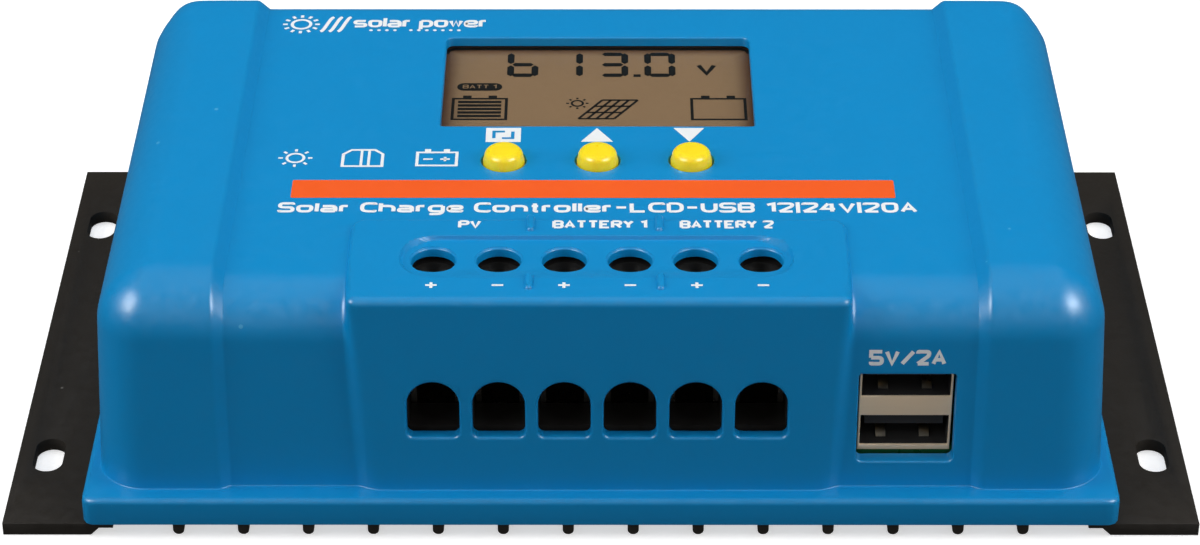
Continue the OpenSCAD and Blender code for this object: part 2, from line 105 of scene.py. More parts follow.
HUMP_X = -0.3
HUMP_HALF = 35.0
HUMP_TOP = 37.2
HUMP_FRONT = (-46.0, -44.4)
HUMP_BACK = -22.8
HUMP_PLAN_R = (4.2, 2.0)                    # vertical corners, at the foot and at the top
HUMP_EDGE_R = (0.3, 1.1)                    # round the back of its top, and along the front
RECESS_DEPTH = 0.65
RECESS_R = 5.35
RECESS_X = -0.6
RECESS_REACH = 22.15                        # from its middle to the centre of each round end
RECESS_FADE = (-38.6, -34.0)                # it runs out towards the front between these depths
RIDGE_XS = (-10.0, 8.3)
RIDGE_YS = ((-22.6, -25.4), (-37.9, -40.4))
RIDGE_W = 1.1
RIDGE_TOP = HUMP_TOP + 0.45

POLE_MID = -0.5
POLE_PITCH = 9.2
POLE_Y = -32.65
POLE_XS = [POLE_MID + (i - 2.5) * POLE_PITCH for i in range(6)]
ACCESS_R = 3.1
ENTRY_W = 7.4
ENTRY_SILL, ENTRY_CROWN = 15.1, 24.0

DISPLAY_X = (window_low[0] + window_high[0]) / 2
DISPLAY_Y = (window_low[1] + window_high[1]) / 2
DISPLAY_W, DISPLAY_D = 47.0, 27.0
BUTTON_XS = [(low[0] + high[0]) / 2 for low, high in button_boxes]
BUTTON_Y = (button_boxes[0][0][1] + button_boxes[0][1][1]) / 2
BUTTON_HOLE_R = 3.35

USB_X = (shell_low[0] + shell_high[0]) / 2
USB_HALF = 6.85
USB_CUT = (10.45, 24.6)
PORT_W, PORT_H = 12.5, 5.12
PORT_ZS = (11.5, 11.5 + PORT_H + 3.2)
SPRING_X, SPRING_HALF = 3.1, 0.7            # contact springs: place from the middle, half width
SPRING_START, SPRING_LENGTH, SPRING_RISE = 1.6, 4.2, 0.75


# ---- mesh helpers ----

def mesh_object(name, verts, faces, smooth_angle=None):
    """A new object from points in millimetres."""
    mesh = bpy.data.meshes.new(name)
    mesh.from_pydata((np.asarray(verts, float) * MM).tolist(), [], faces)
    mesh.update()
    obj = bpy.data.objects.new(name, mesh)
    bpy.context.scene.collection.objects.link(obj)
    if smooth_angle is not None:
        smooth(obj, smooth_angle)
    return obj


def smooth(obj, angle):
    """Smooth shading, with sharp edges above an angle in degrees."""
    mesh = obj.data
    mesh.shade_smooth()
    mesh.set_sharp_from_angle(angle=math.radians(angle))
    return obj


def tidy(obj, flip=True):
    """Welds points that coincide and, with flip, turns the faces outwards."""
    bm = bmesh.new()
    bm.from_mesh(obj.data)
    bmesh.ops.remove_doubles(bm, verts=bm.verts, dist=WELD * MM)
    if flip:
        bmesh.ops.recalc_face_normals(bm, faces=bm.faces)
    bm.to_mesh(obj.data)
    bm.free()
    return obj


def apply_modifiers(obj):
    """Replaces the object's mesh with what its modifiers make of it."""
    graph = bpy.context.evaluated_depsgraph_get()
    mesh = bpy.data.meshes.new_from_object(obj.evaluated_get(graph))
    obj.modifiers.clear()
    obj.data = mesh
    return obj


def thickened(obj, wall):
    """A sheet made into a solid, with half of its wall on each side."""
    mod = obj.modifiers.new("wall", "SOLIDIFY")
    mod.thickness = wall * MM
    mod.offset = 0
    return apply_modifiers(obj)


def cut(obj, cutter):
    """Takes cutter away from obj, and deletes cutter."""
    mod = obj.modifiers.new("cut", "BOOLEAN")
    mod.operation = "DIFFERENCE"
    mod.solver = "EXACT"
    mod.object = cutter
    apply_modifiers(obj)
    bpy.data.objects.remove(cutter)
    return obj


def joined(name, objects):
    """One object from several that don't touch."""
    bm = bmesh.new()
    for obj in objects:
        bm.from_mesh(obj.data)
        bpy.data.objects.remove(obj)
    mesh = bpy.data.meshes.new(name)
    bm.to_mesh(mesh)
    bm.free()
    obj = bpy.data.objects.new(name, mesh)
    bpy.context.scene.collection.objects.link(obj)
    return obj


def lathe(name, profile, centre, segments=72):
    """A turned piece about a vertical axis. profile is (radius, height) from bottom to top."""
    cx, cy = centre
    angles = np.linspace(0, 2 * math.pi, segments, endpoint=False)
    verts = [(cx + r * math.cos(a), cy + r * math.sin(a), z) for r, z in profile for a in angles]
    faces = []
    for k in range(len(profile) - 1):
        for i in range(segments):
            j = (i + 1) % segments
            row, after = k * segments, (k + 1) * segments
            faces.append((row + i, row + j, after + j, after + i))
    top = (len(profile) - 1) * segments
    faces.append(tuple(range(segments))[::-1])
    faces.append(tuple(range(top, top + segments)))
    return mesh_object(name, verts, faces, 40)


def softened(node, width):
    """A copy of a CAD node with its sharp edges rounded, which stands for that node."""
    source = frame["nodes"][node]
    bm = bmesh.new()
    bm.from_mesh(source.data)
    bmesh.ops.remove_doubles(bm, verts=bm.verts, dist=0.001 * MM)
    bmesh.ops.dissolve_limit(bm, angle_limit=math.radians(0.3), verts=bm.verts, edges=bm.edges)
    edges = [e for e in bm.edges if len(e.link_faces) == 2 and e.calc_face_angle(0) > math.radians(28)]
    bmesh.ops.bevel(bm, geom=edges, offset=width * MM, segments=2, profile=0.5,
                    affect="EDGES", clamp_overlap=True)
    mesh = bpy.data.meshes.new(node)
    bm.to_mesh(mesh)
    bm.free()
    obj = bpy.data.objects.new(node + "_finished", mesh)
    bpy.context.scene.collection.objects.link(obj)
    smooth(obj, 32)
    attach(obj, source["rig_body"])
    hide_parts(node)
    return obj


# ---- outlines and cutters ----

def corner_arc(cx, cy, r, start, steps=10):
    """Points of a quarter circle that starts at an angle in degrees."""
    return [(cx + r * math.cos(math.radians(start + 90 * k / steps)),
             cy + r * math.sin(math.radians(start + 90 * k / steps))) for k in range(steps + 1)]


def rounded_outline(w, h, r_low, r_high, grow=0.0, steps=10):
    """Rectangle with its own radii at the lower and upper corners, grown all round."""
    x, y = w / 2, h / 2
    points = corner_arc(x - r_high, y - r_high, r_high + grow, 0, steps)
    points += corner_arc(-x + r_high, y - r_high, r_high + grow, 90, steps)
    points += corner_arc(-x + r_low, -y + r_low, r_low + grow, 180, steps)
    points += corner_arc(x - r_low, -y + r_low, r_low + grow, 270, steps)
    return points


def round_outline(r, grow):
    """Outline of a round hole, grown all round."""
    return rounded_outline(2 * r, 2 * r, r, r, grow, 16)


def opening_cutter(outline, place, edge_r, depth, lead=1.5, edge_steps=5):
    """Cutter for an opening whose rim is rounded by edge_r.

    outline(grow) gives the outline, and place(u, v, d) the point at depth d under the surface.
    """
    rings = [(edge_r + 0.02, -lead), (edge_r + 0.02, -0.02)]
    for k in range(edge_steps + 1):
        a = math.pi / 2 * k / edge_steps
        rings.append((edge_r * (1 - math.sin(a)), edge_r * (1 - math.cos(a))))
    rings.append((0.0, depth))
    verts = []
    for grow, d in rings:
        verts += [place(u, v, d) for u, v in outline(grow)]
    n = len(outline(0))
    faces = []
    for k in range(len(rings) - 1):
        for i in range(n):
            j = (i + 1) % n
            faces.append((k * n + i, (k + 1) * n + i, (k + 1) * n + j, k * n + j))
    faces.append(tuple(range(n)))
    faces.append(tuple(range((len(rings) - 1) * n, len(rings) * n))[::-1])
    return tidy(mesh_object("cutter", verts, faces))


def block(low, high):
    """A plain box used to cut."""
    x0, y0, z0 = low
    x1, y1, z1 = high
    verts = [(x, y, z) for z in (z0, z1) for y in (y0, y1) for x in (x0, x1)]
    faces = [(0, 2, 3, 1), (4, 5, 7, 6), (0, 1, 5, 4), (2, 6, 7, 3), (0, 4, 6, 2), (1, 3, 7, 5)]
    return mesh_object("block", verts, faces)


# ---- the casing's form, as a function that is negative inside ----

def meet(a, b, r):
    """Intersection of two forms with a rounded edge."""
    return np.minimum(-r, np.maximum(a, b)) + np.hypot(np.maximum(a + r, 0), np.maximum(b + r, 0))


def merge(a, b, r):
    """Union of two forms with a fillet."""
    return np.maximum(r, np.minimum(a, b)) - np.hypot(np.maximum(r - a, 0), np.maximum(r - b, 0))


def ramp(a, b, t):
    """0 before a and 1 after b, with a smooth turn at each end."""
    t = np.clip((t - a) / (b - a), 0, 1)
    return t * t * (3 - 2 * t)


def wall_line(pair, z):
    """Place of a drafted wall at height z."""
    foot, top = pair
    return foot + (top - foot) * (z - SKIRT_TOP) / (WALL_TOP - SKIRT_TOP)


def raised_share(x):
    """0 on the middle panel and 1 on a raised end, with a crisp foot and a soft shoulder."""
    t = np.clip((np.abs(x) - STEP_IN) / (STEP_OUT - STEP_IN), 0, 1.4)
    knee = 0.22
    return np.where(t < 1 - knee, t, 1 - np.clip(1 + knee - t, 0, None) ** 2 / (4 * knee))


def capsule(x, y, x0, y0, x1, y1, r):
    """Distance to a round-ended bar."""
    dx, dy = x1 - x0, y1 - y0
    t = np.clip(((x - x0) * dx + (y - y0) * dy) / (dx * dx + dy * dy), 0, 1)
    return np.hypot(x - x0 - t * dx, y - y0 - t * dy) - r


def hump_height(x, y):
    """Top of the hump, with the recess round the screw holes."""
    start, end = RECESS_X - RECESS_REACH, RECESS_X + RECESS_REACH
    d = capsule(x, y, start, POLE_Y, end, POLE_Y, RECESS_R)
    return HUMP_TOP - RECESS_DEPTH * ramp(0.2, -0.2, d) * ramp(*RECESS_FADE, y)


def casing_form(x, y, z):
    """The casing above its skirt: a drafted box with raised ends, merged with the hump."""
    share = raised_share(x)
    top = PANEL_TOP + (END_TOP - PANEL_TOP) * share
    front = wall_line(FRONT_MIDDLE, z) * (1 - share) + wall_line(FRONT_END, z) * share
    f_front = front - y
    f_back = y - wall_line(BACK, z)
    f_side = np.abs(x) - wall_line((HALF_FOOT, HALF_TOP), z)
    plan = meet(meet(f_side, f_front, PLAN_R), f_back, PLAN_R)
    blend = 1.5
    near = np.stack([f_front, f_side, f_back])
    weight = np.exp(np.clip((near - near.max(0)) / blend, -40, 0))
    radii = (FRONT_R + share, SIDE_R, BACK_R)
    edge_r = sum(w * r for w, r in zip(weight, radii)) / weight.sum(0)
    body = meet(plan, z - top, edge_r)
    h_front = wall_line(HUMP_FRONT, z) - y
    h_side = np.abs(x - HUMP_X) - HUMP_HALF
    h_plan = meet(meet(h_side, h_front, wall_line(HUMP_PLAN_R, z)), y - HUMP_BACK, HUMP_PLAN_R[1])
    towards_front = ramp(-34.0, -42.0, y)
    hump_edge_r = HUMP_EDGE_R[0] + (HUMP_EDGE_R[1] - HUMP_EDGE_R[0]) * towards_front
    hump = meet(h_plan, z - hump_height(x, y), hump_edge_r)
    return merge(body, hump, 0.15 + 0.45 * towards_front)


def skirt_form(x, y):
    """Outline of the skirt, negative inside."""
    return meet(np.abs(x) - SKIRT_HALF[0], np.abs(y) - SKIRT_HALF[1], SKIRT_R)


def reach_of(form, origins, directions, level=0.0, far=70.0):
    """Distance along each ray to where form equals level."""
    low = np.zeros(len(origins))
    high = np.full(len(origins), far)
    for _ in range(34):
        mid = (low + high) / 2
        inside = form(*(origins + directions * mid[:, None]).T) < level
        low = np.where(inside, mid, low)
        high = np.where(inside, high, mid)
    return (low + high) / 2


def spaced(stops, coarse):
    """Sorted stops filled in. Each zone is (start, end, step); the gaps take the coarse step."""
    lines = []
    edge = stops[0][0]
    for start, end, step in stops:
        for a, b, s in ((edge, start, coarse), (start, end, step)):
            if b - a > 1e-9:
                count = max(1, round((b - a) / s))
                lines += [a + (b - a) * k / count for k in range(count)]
        edge = end
    return np.array(lines + [edge])


def casing_shell(name, level, xs, ys, fan_steps, corner_steps, wall_zs):
    """Closed solid of the casing's form at a level: a top grid, fans over the edges, rings down."""
    fan_z = 29.0
    nx, ny = len(xs), len(ys)
    gx, gy = np.meshgrid(xs, ys, indexing="ij")
    origins = np.stack([gx.ravel(), gy.ravel(), np.full(gx.size, fan_z)], 1)
    up = np.tile([0.0, 0.0, 1.0], (gx.size, 1))
    verts = [origins + up * reach_of(casing_form, origins, up, level)[:, None]]
    faces = []
    for i in range(nx - 1):
        for j in range(ny - 1):
            a = i * ny + j
            faces.append((a, a + ny, a + ny + 1, a + 1))
    # The border, anticlockwise from the front left corner: grid vertex and outward direction.
    # Each corner fans over a quarter turn before the side that starts there.
    quarter = [math.pi / 2 * k / corner_steps for k in range(corner_steps)]
    sides = (
        (math.pi, [(i, 0) for i in range(nx - 1)]),
        (1.5 * math.pi, [(nx - 1, j) for j in range(ny - 1)]),
        (0.0, [(i, ny - 1) for i in range(nx - 1, 0, -1)]),
        (0.5 * math.pi, [(0, j) for j in range(ny - 1, 0, -1)]),
    )
    border = []
    for start, cells in sides:
        i, j = cells[0]
        border += [(i, j, start + a) for a in quarter]
        border += [(i, j, (start + math.pi / 2) % (2 * math.pi)) for i, j in cells]
    home = np.array([(xs[i], ys[j]) for i, j, _ in border])
    out = np.array([(math.cos(a), math.sin(a)) for _, _, a in border])
    n = len(border)
    zeros = np.zeros((n, 1))
    start = np.hstack([home, np.full((n, 1), fan_z)])
    for k in range(1, fan_steps + 1):
        a = math.pi / 2 * (1 - k / fan_steps)
        ray = np.hstack([out * math.cos(a), zeros + math.sin(a)])
        verts.append(start + ray * reach_of(casing_form, start, ray, level)[:, None])
    flat = np.hstack([out, zeros])
    for z in wall_zs:
        ring = np.hstack([home, np.full((n, 1), z)])
        verts.append(ring + flat * reach_of(casing_form, ring, flat, level)[:, None])
    rings = fan_steps + len(wall_zs)
    if level == 0:
        foot = verts[-1][:, :2]
        edge_start = np.hstack([home, zeros])
        edge = home + out * reach_of(lambda x, y, z: skirt_form(x, y), edge_start, flat)[:, None]
        inward = -out
        fillet = 0.2
        for k in range(1, 5):
            a = math.pi / 2 * k / 4
            point = foot - inward * fillet * (1 - math.cos(a))
            verts.append(np.hstack([point, np.full((n, 1), SKIRT_TOP + fillet * (1 - math.sin(a)))]))
        middle = (foot + edge + inward * LEDGE_R) / 2
        verts.append(np.hstack([middle, np.full((n, 1), SKIRT_TOP)]))
        for k in range(7):
            a = math.pi / 2 * k / 6
            point = edge + inward * LEDGE_R * (1 - math.sin(a))
            verts.append(np.hstack([point, np.full((n, 1), SKIRT_TOP - LEDGE_R * (1 - math.cos(a)))]))
        for drop, inset in ((0.35, 0.0), (0.12, 0.05), (0.0, 0.2)):
            verts.append(np.hstack([edge + inward * inset, np.full((n, 1), SKIRT_LOW + drop)]))
        rings += 4 + 1 + 7 + 3
    base = nx * ny
    grid_ids = [i * ny + j for i, j, _ in border]
    for k in range(rings):
        for c in range(n):
            d = (c + 1) % n
            if k == 0:
                quad = (grid_ids[c], base + c, base + d, grid_ids[d])
            else:
                row = base + (k - 1) * n
                quad = (row + c, row + n + c, row + n + d, row + d)
            face = tuple(dict.fromkeys(quad))
            if len(face) > 2:
                faces.append(face)
    last = base + (rings - 1) * n
    faces.append(tuple(range(last, last + n))[::-1])
    return mesh_object(name, np.vstack(verts), faces)


def casing_mesh():
    """The moulding: its outer form less a thinner one, the heatsink's room and all openings."""
    xs = spaced([(-62, -62, 1), (-54.4, -52.2, 0.2), (-37, -33, 0.25), (-28.6, -27, 0.2),
                 (-27, -21, 0.6), (20, 26, 0.6), (26, 27.4, 0.2),
                 (32.4, 36.4, 0.25), (52.2, 54.4, 0.2), (62, 62, 1)], 1.5)
    ys = spaced([(-36, -28, 0.5), (-28, -21.4, 0.12), (40, 40, 1)], 1.5)
    zs = [29 - 1.6 * k for k in range(1, 14)] + [SKIRT_TOP + 0.8, SKIRT_TOP + 0.4]
    casing = casing_shell("casing_moulding", 0.0, xs, ys, 72, 32, zs)
    coarse_x = spaced([(-62, 62, 4)], 4)
    coarse_y = spaced([(-36, 40, 4)], 4)
    inner_zs = [26, 20, 14, 8, 4, 1]
    inner = casing_shell("inner", -WALL, coarse_x, coarse_y, 10, 6, inner_zs)
    cut(casing, inner)
    cut(casing, block((-71.5, -45, 1), (71.5, 45, 6.1)))
    cutters = []
    window_z = lambda u, v, d: (DISPLAY_X + u, DISPLAY_Y + v, PANEL_TOP - d)
    cutters.append(opening_cutter(lambda g: rounded_outline(DISPLAY_W, DISPLAY_D, 0.5, 1.2, g),
                                  window_z, 0.3, 4))
    for x in BUTTON_XS:
        cutters.append(opening_cutter(
            lambda g: round_outline(BUTTON_HOLE_R, g),
            lambda u, v, d, x=x: (x + u, BUTTON_Y + v, PANEL_TOP - d), 0.15, 4))
    for x in POLE_XS:
        cutters.append(opening_cutter(
            lambda g: round_outline(ACCESS_R, g),
            lambda u, v, d, x=x: (x + u, POLE_Y + v, HUMP_TOP - RECESS_DEPTH - d), 0.3, 4))
        mid_z = (ENTRY_SILL + ENTRY_CROWN) / 2
        cutters.append(opening_cutter(
            lambda g: rounded_outline(ENTRY_W, ENTRY_CROWN - ENTRY_SILL, 1.0, ENTRY_W / 2, g),
            lambda u, v, d, x=x, m=mid_z: (x + u, wall_line(HUMP_FRONT, m + v) + d, m + v), 0.4, 4.6))
    usb_mid = sum(USB_CUT) / 2
    cutters.append(opening_cutter(
        lambda g: rounded_outline(2 * USB_HALF, USB_CUT[1] - USB_CUT[0], 0.9, 0.5, g),
        lambda u, v, d: (USB_X + u, wall_line(FRONT_MIDDLE, usb_mid + v) + d, usb_mid + v), 0.3, 5))
    cut(casing, joined("openings", cutters))
    rebate = block((window_low[0] - 0.1, window_low[1] - 0.1, 30), tuple(window_high + [0.1, 0.1, 0.0]))
    cut(casing, rebate)
    smooth(casing, 35)
    return casing


# ---- materials ----

def srgb(r, g, b):
    """A colour given as 0 to 255 display values, as the shader's linear values."""
    def linear(c):
        c /= 255
        return c / 12.92 if c <= 0.04045 else ((c + 0.055) / 1.055) ** 2.4
    return (linear(r), linear(g), linear(b), 1.0)


class Surface:
    """A Principled material whose colour, roughness and fine relief come from noise."""

    def __init__(self, name, colour, roughness, metallic=0.0, mottle=0.04, grain=2500.0,
                 relief=0.004, rough_spread=0.06, stretch=(1, 1, 1), specular=0.5):
        self.material = bpy.data.materials.new(name)
        self.material.use_nodes = True
        self.tree = self.material.node_tree
        self.shader = self.tree.nodes["Principled BSDF"]
        self.shader.inputs["Metallic"].default_value = metallic
        self.shader.inputs["Specular IOR Level"].default_value = specular
        coords = self.node("ShaderNodeTexCoord")
        mapping = self.node("ShaderNodeMapping")
        mapping.inputs["Scale"].default_value = stretch
        self.link(coords.outputs["Object"], mapping.inputs["Vector"])
        self.place = mapping.outputs["Vector"]
        broad = self.noise(90.0, 4.0)
        tint = self.node("ShaderNodeMix", data_type="RGBA")
        self.link(broad, tint.inputs[0])
        tint.inputs[6].default_value = tuple(c * (1 - mottle) for c in colour[:3]) + (1,)
        tint.inputs[7].default_value = tuple(min(1, c * (1 + mottle)) for c in colour[:3]) + (1,)
        self.colour = tint.outputs[2]
        self.link(self.colour, self.shader.inputs["Base Color"])
        rough = self.node("ShaderNodeMapRange")
        self.link(self.noise(700.0, 6.0), rough.inputs["Value"])
        rough.inputs["From Min"].default_value = 0.3
        rough.inputs["From Max"].default_value = 0.7
        rough.inputs["To Min"].default_value = max(0.02, roughness - rough_spread)
        rough.inputs["To Max"].default_value = roughness + rough_spread
        self.link(rough.outputs["Result"], self.shader.inputs["Roughness"])
        bump = self.node("ShaderNodeBump")
        bump.inputs["Distance"].default_value = relief * MM
        self.link(self.noise(grain, 3.0), bump.inputs["Height"])
        self.link(bump.outputs["Normal"], self.shader.inputs["Normal"])

    def node(self, kind, **settings):
        """A new shader node with some of its settings."""
        made = self.tree.nodes.new(kind)
        for key, value in settings.items():
            setattr(made, key, value)
        return made

    def link(self, source, target):
        self.tree.links.new(source, target)

    def noise(self, scale, detail):
        """Noise in the object's own space, as a value from 0 to 1."""
        made = self.node("ShaderNodeTexNoise")
        made.inputs["Scale"].default_value = scale
        made.inputs["Detail"].default_value = detail
        self.link(self.place, made.inputs["Vector"])
        return made.outputs["Fac"]

    def translucent_with_painted_light(self, weight, radius, depth, painted_glow):
        """Light carried through the plastic for a depth in millimetres, and painted light: a faint
        emission of its own that lifts the shaded sides.
        """
        self.shader.inputs["Subsurface Weight"].default_value = weight
        self.shader.inputs["Subsurface Radius"].default_value = radius
        self.shader.inputs["Subsurface Scale"].default_value = depth * MM
        self.shader.inputs["Emission Color"].default_value = (*painted_glow, 1.0)
        self.shader.inputs["Emission Strength"].default_value = 0.12
        return self

    def rim_shade(self, centre, half, rim, colour):
        """Painted shade: the given colour towards the rim of a rectangle, in millimetres on X and Y."""
        parts = self.node("ShaderNodeSeparateXYZ")
        self.link(self.place, parts.inputs["Vector"])
        shares = []
        for axis, mid, reach in zip("XY", centre, half):
            shift = self.node("ShaderNodeMath", operation="SUBTRACT")
            shift.inputs[1].default_value = mid * MM
            self.link(parts.outputs[axis], shift.inputs[0])
            size = self.node("ShaderNodeMath", operation="ABSOLUTE")
            self.link(shift.outputs[0], size.inputs[0])
            share = self.node("ShaderNodeMapRange")
            share.interpolation_type = "SMOOTHSTEP"
            share.inputs["From Min"].default_value = (reach - rim) * MM
            share.inputs["From Max"].default_value = reach * MM
            self.link(size.outputs[0], share.inputs["Value"])
            shares.append(share.outputs["Result"])
        rim_shade_mask = self.node("ShaderNodeMath", operation="MAXIMUM")
        self.link(shares[0], rim_shade_mask.inputs[0])
        self.link(shares[1], rim_shade_mask.inputs[1])
        rim_shaded = self.node("ShaderNodeMix", data_type="RGBA")
        self.link(rim_shade_mask.outputs[0], rim_shaded.inputs[0])
        self.link(self.colour, rim_shaded.inputs[6])
        rim_shaded.inputs[7].default_value = colour
        self.colour = rim_shaded.outputs[2]
        self.link(self.colour, self.shader.inputs["Base Color"])
        return self

    def specks(self, scale, size, share, colour):
        """Sparse dots of another colour, such as dust."""
        cells = self.node("ShaderNodeTexVoronoi")
        cells.inputs["Scale"].default_value = scale
        self.link(self.place, cells.inputs["Vector"])
        near = self.node("ShaderNodeMath", operation="LESS_THAN")
        near.inputs[1].default_value = size
        self.link(cells.outputs["Distance"], near.inputs[0])
        parts = self.node("ShaderNodeSeparateColor")
        self.link(cells.outputs["Color"], parts.inputs["Color"])
        chosen = self.node("ShaderNodeMath", operation="LESS_THAN")
        chosen.inputs[1].default_value = share
        self.link(parts.outputs["Red"], chosen.inputs[0])
        both = self.node("ShaderNodeMath", operation="MULTIPLY")
        self.link(near.outputs[0], both.inputs[0])
        self.link(chosen.outputs[0], both.inputs[1])
        dusted = self.node("ShaderNodeMix", data_type="RGBA")
        self.link(both.outputs[0], dusted.inputs[0])
        self.link(self.colour, dusted.inputs[6])
        dusted.inputs[7].default_value = colour
        self.colour = dusted.outputs[2]
        self.link(self.colour, self.shader.inputs["Base Color"])
        return self


MATERIALS = {
    "casing_blue": Surface("casing_blue", srgb(0, 143, 208), 0.34, mottle=0.03, grain=3800,
                           relief=0.006, specular=0.4)
    .specks(260, 0.08, 0.05, srgb(70, 170, 222)).material,
    "anodised_black": Surface("anodised_black", srgb(40, 36, 31), 0.55, grain=2600,
                              relief=0.012, mottle=0.10, rough_spread=0.08, specular=0.25)
    .specks(420, 0.09, 0.04, srgb(96, 92, 86)).material,
    "zinc_steel": Surface("zinc_steel", srgb(190, 190, 186), 0.32, metallic=1.0, mottle=0.08).material,
    "lcd_film": Surface("lcd_film", srgb(142, 116, 86), 0.42, mottle=0.05, grain=6000, relief=0.002,
                        specular=0.3)
    # the film darkens towards the rim of its window: painted shade of the bezel over the sunk display
    .rim_shade((DISPLAY_X, DISPLAY_Y), (DISPLAY_W / 2, DISPLAY_D / 2), 2.6,
               srgb(98, 70, 50)).material,
    "lcd_ink": Surface("lcd_ink", srgb(20, 24, 24), 0.5, mottle=0.1, relief=0.001,
                       specular=0.2).material,
    "black_plastic": Surface("black_plastic", srgb(34, 33, 33), 0.5, mottle=0.08, relief=0.008).material,
    "white_plastic": Surface("white_plastic", srgb(232, 232, 224), 0.5).material,
    "tin": Surface("tin", srgb(205, 205, 200), 0.25, metallic=1.0).material,
    "circuit_board": Surface("circuit_board", srgb(18, 92, 52), 0.3, mottle=0.12).material,
    "chip_epoxy": Surface("chip_epoxy", srgb(36, 36, 38), 0.6, relief=0.01).material,
    # the caps emit a little light of their own: painted light that brightens their shaded fronts
    "button_yellow": Surface("button_yellow", srgb(255, 224, 28), 0.33, mottle=0.02, grain=3500,
                             relief=0.004)
    .translucent_with_painted_light(0.6, (1.0, 0.7, 0.1), 2.5, (1.0, 0.62, 0.03)).material,
    "spacer_brass": Surface("spacer_brass", srgb(206, 172, 92), 0.28, metallic=1.0).material,
    "terminal_plastic": Surface("terminal_plastic", srgb(30, 27, 24), 0.45, mottle=0.1).material,
    "nickel_cage": Surface("nickel_cage", srgb(188, 182, 168), 0.3, metallic=1.0, mottle=0.08).material,
    "contact_copper": Surface("contact_copper", srgb(196, 160, 120), 0.32, metallic=1.0).material,
    "usb_steel": Surface("usb_steel", srgb(255, 226, 192), 0.36, metallic=0.15, mottle=0.06,
                         stretch=(1, 1, 8)).material,
    "gold_contact": Surface("gold_contact", srgb(222, 184, 100), 0.25, metallic=1.0).material,
    "gap_pad": Surface("gap_pad", srgb(176, 176, 190), 0.7).material,
    "bar_aluminium": Surface("bar_aluminium", srgb(186, 186, 190), 0.35, metallic=1.0,
                             stretch=(1, 12, 12)).material,
    "capacitor_sleeve": Surface("capacitor_sleeve", srgb(38, 48, 82), 0.35).material,
    "ferrite": Surface("ferrite", srgb(48, 48, 52), 0.65, relief=0.02).material,
    "print_white": Surface("print_white", srgb(244, 248, 250), 0.5, mottle=0.02, relief=0.002).material,
    "print_orange": Surface("print_orange", srgb(255, 96, 22), 0.42, mottle=0.02, relief=0.002).material,
}


def clear_material():
    """Thin clear window: mostly see-through, with the gloss of a polished face."""
    material = Surface("clear_window", srgb(40, 34, 28), 0.10, mottle=0.01, relief=0.0005,
                       rough_spread=0.03).material
    material.node_tree.nodes["Principled BSDF"].inputs["Alpha"].default_value = 0.03
    return material


MATERIALS["clear_window"] = clear_material()


def dress(obj, slot, body=None):
    """Gives a piece its material and slot, and makes it ride on a body."""
    obj.data.materials.clear()
    obj.data.materials.append(MATERIALS[slot])
    if body:
        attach(obj, body)
    return obj


for part in frame["record"]["subparts"]:
    carried = frame["nodes"][part["node"]]
    for place in carried.material_slots:
        place.material = MATERIALS[part["material_slot"]]


# ---- casing and heatsink ----

def ridge_bars():
    """Small round-topped bars that part the three pairs of terminals."""
    verts, faces = [], []
    length = RIDGE_YS[0][0] - RIDGE_YS[0][1] + RIDGE_W
    r = RIDGE_W / 2
    arc = [math.pi / 2 * k / 4 for k in range(4)]
    rings = [(0.12, HUMP_TOP - 0.1), (0.12, HUMP_TOP), (0.0, HUMP_TOP + 0.12)]
    rings += [(-0.42 * (1 - math.cos(a)), RIDGE_TOP - 0.3 * (1 - math.sin(a))) for a in arc[1:]]
    rings.append((-r * 0.96, RIDGE_TOP))
    for x in RIDGE_XS:
        for ends in RIDGE_YS:
            base = len(verts)
            for grow, z in rings:
                outline = rounded_outline(RIDGE_W, length, r - 0.01, r - 0.01, grow, 8)
                verts += [(x + u, sum(ends) / 2 + v, z) for u, v in outline]
            n = len(outline)
            for k in range(len(rings) - 1):
                row = base + k * n
                for i in range(n):
                    j = (i + 1) % n
                    faces.append((row + i, row + j, row + n + j, row + n + i))
            top = base + (len(rings) - 1) * n
            faces.append(tuple(range(top, top + n)))
            faces.append(tuple(range(base, base + n))[::-1])
    return mesh_object("casing_ridges", verts, faces, 50)


casing = dress(casing_mesh(), "casing_blue", BODY)
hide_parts("casing")
dress(ridge_bars(), "casing_blue", BODY)

dress(softened("heatsink", 0.22), "anodised_black")


# ---- USB socket ----

def port_pieces():
    """Dark inner walls of the two ports, a black lining that paints the shade inside the steel shell,
    and the contact springs bent into them.
    """
    front, back = shell_low[1] + 0.35, shell_high[1] - 1.1
    half = PORT_W / 2 - 0.02
    walls, springs = ([], []), ([], [])

    def quad(store, points):
        verts, faces = store
        faces.append(tuple(range(len(verts), len(verts) + len(points))))
        verts.extend(points)

    for low in PORT_ZS:
        z0, z1 = low + 0.02, low + PORT_H - 0.02
        ring = [(USB_X - half, z0), (USB_X + half, z0), (USB_X + half, z1), (USB_X - half, z1)]
        for (xa, za), (xb, zb) in zip(ring, ring[1:] + ring[:1]):
            quad(walls, [(xa, front, za), (xb, front, zb), (xb, back, zb), (xa, back, za)])
        quad(walls, [(x, back, z) for x, z in ring])
        for x in (USB_X - SPRING_X, USB_X + SPRING_X):
            bend = [(front + SPRING_START + SPRING_LENGTH * t,
                     z0 + 0.05 + SPRING_RISE * math.sin(math.pi * t)) for t in np.linspace(0, 1, 9)]
            left, right = x - SPRING_HALF, x + SPRING_HALF
            for (ya, za), (yb, zb) in zip(bend, bend[1:]):
                quad(springs, [(left, ya, za), (right, ya, za), (right, yb, zb), (left, yb, zb)])
    # the black lining stands for the shade inside the steel ports: painted shade
    shade_liner = thickened(tidy(mesh_object("usb_port_painted_shade", *walls), flip=False), 0.03)
    dress(shade_liner, "black_plastic", BODY)
    bent = thickened(tidy(mesh_object("usb_port_springs", *springs), flip=False), 0.2)
    dress(smooth(bent, 40), "nickel_cage", BODY)


dress(softened("usb_shell", 0.07), "usb_steel")
port_pieces()


# ---- push buttons ----

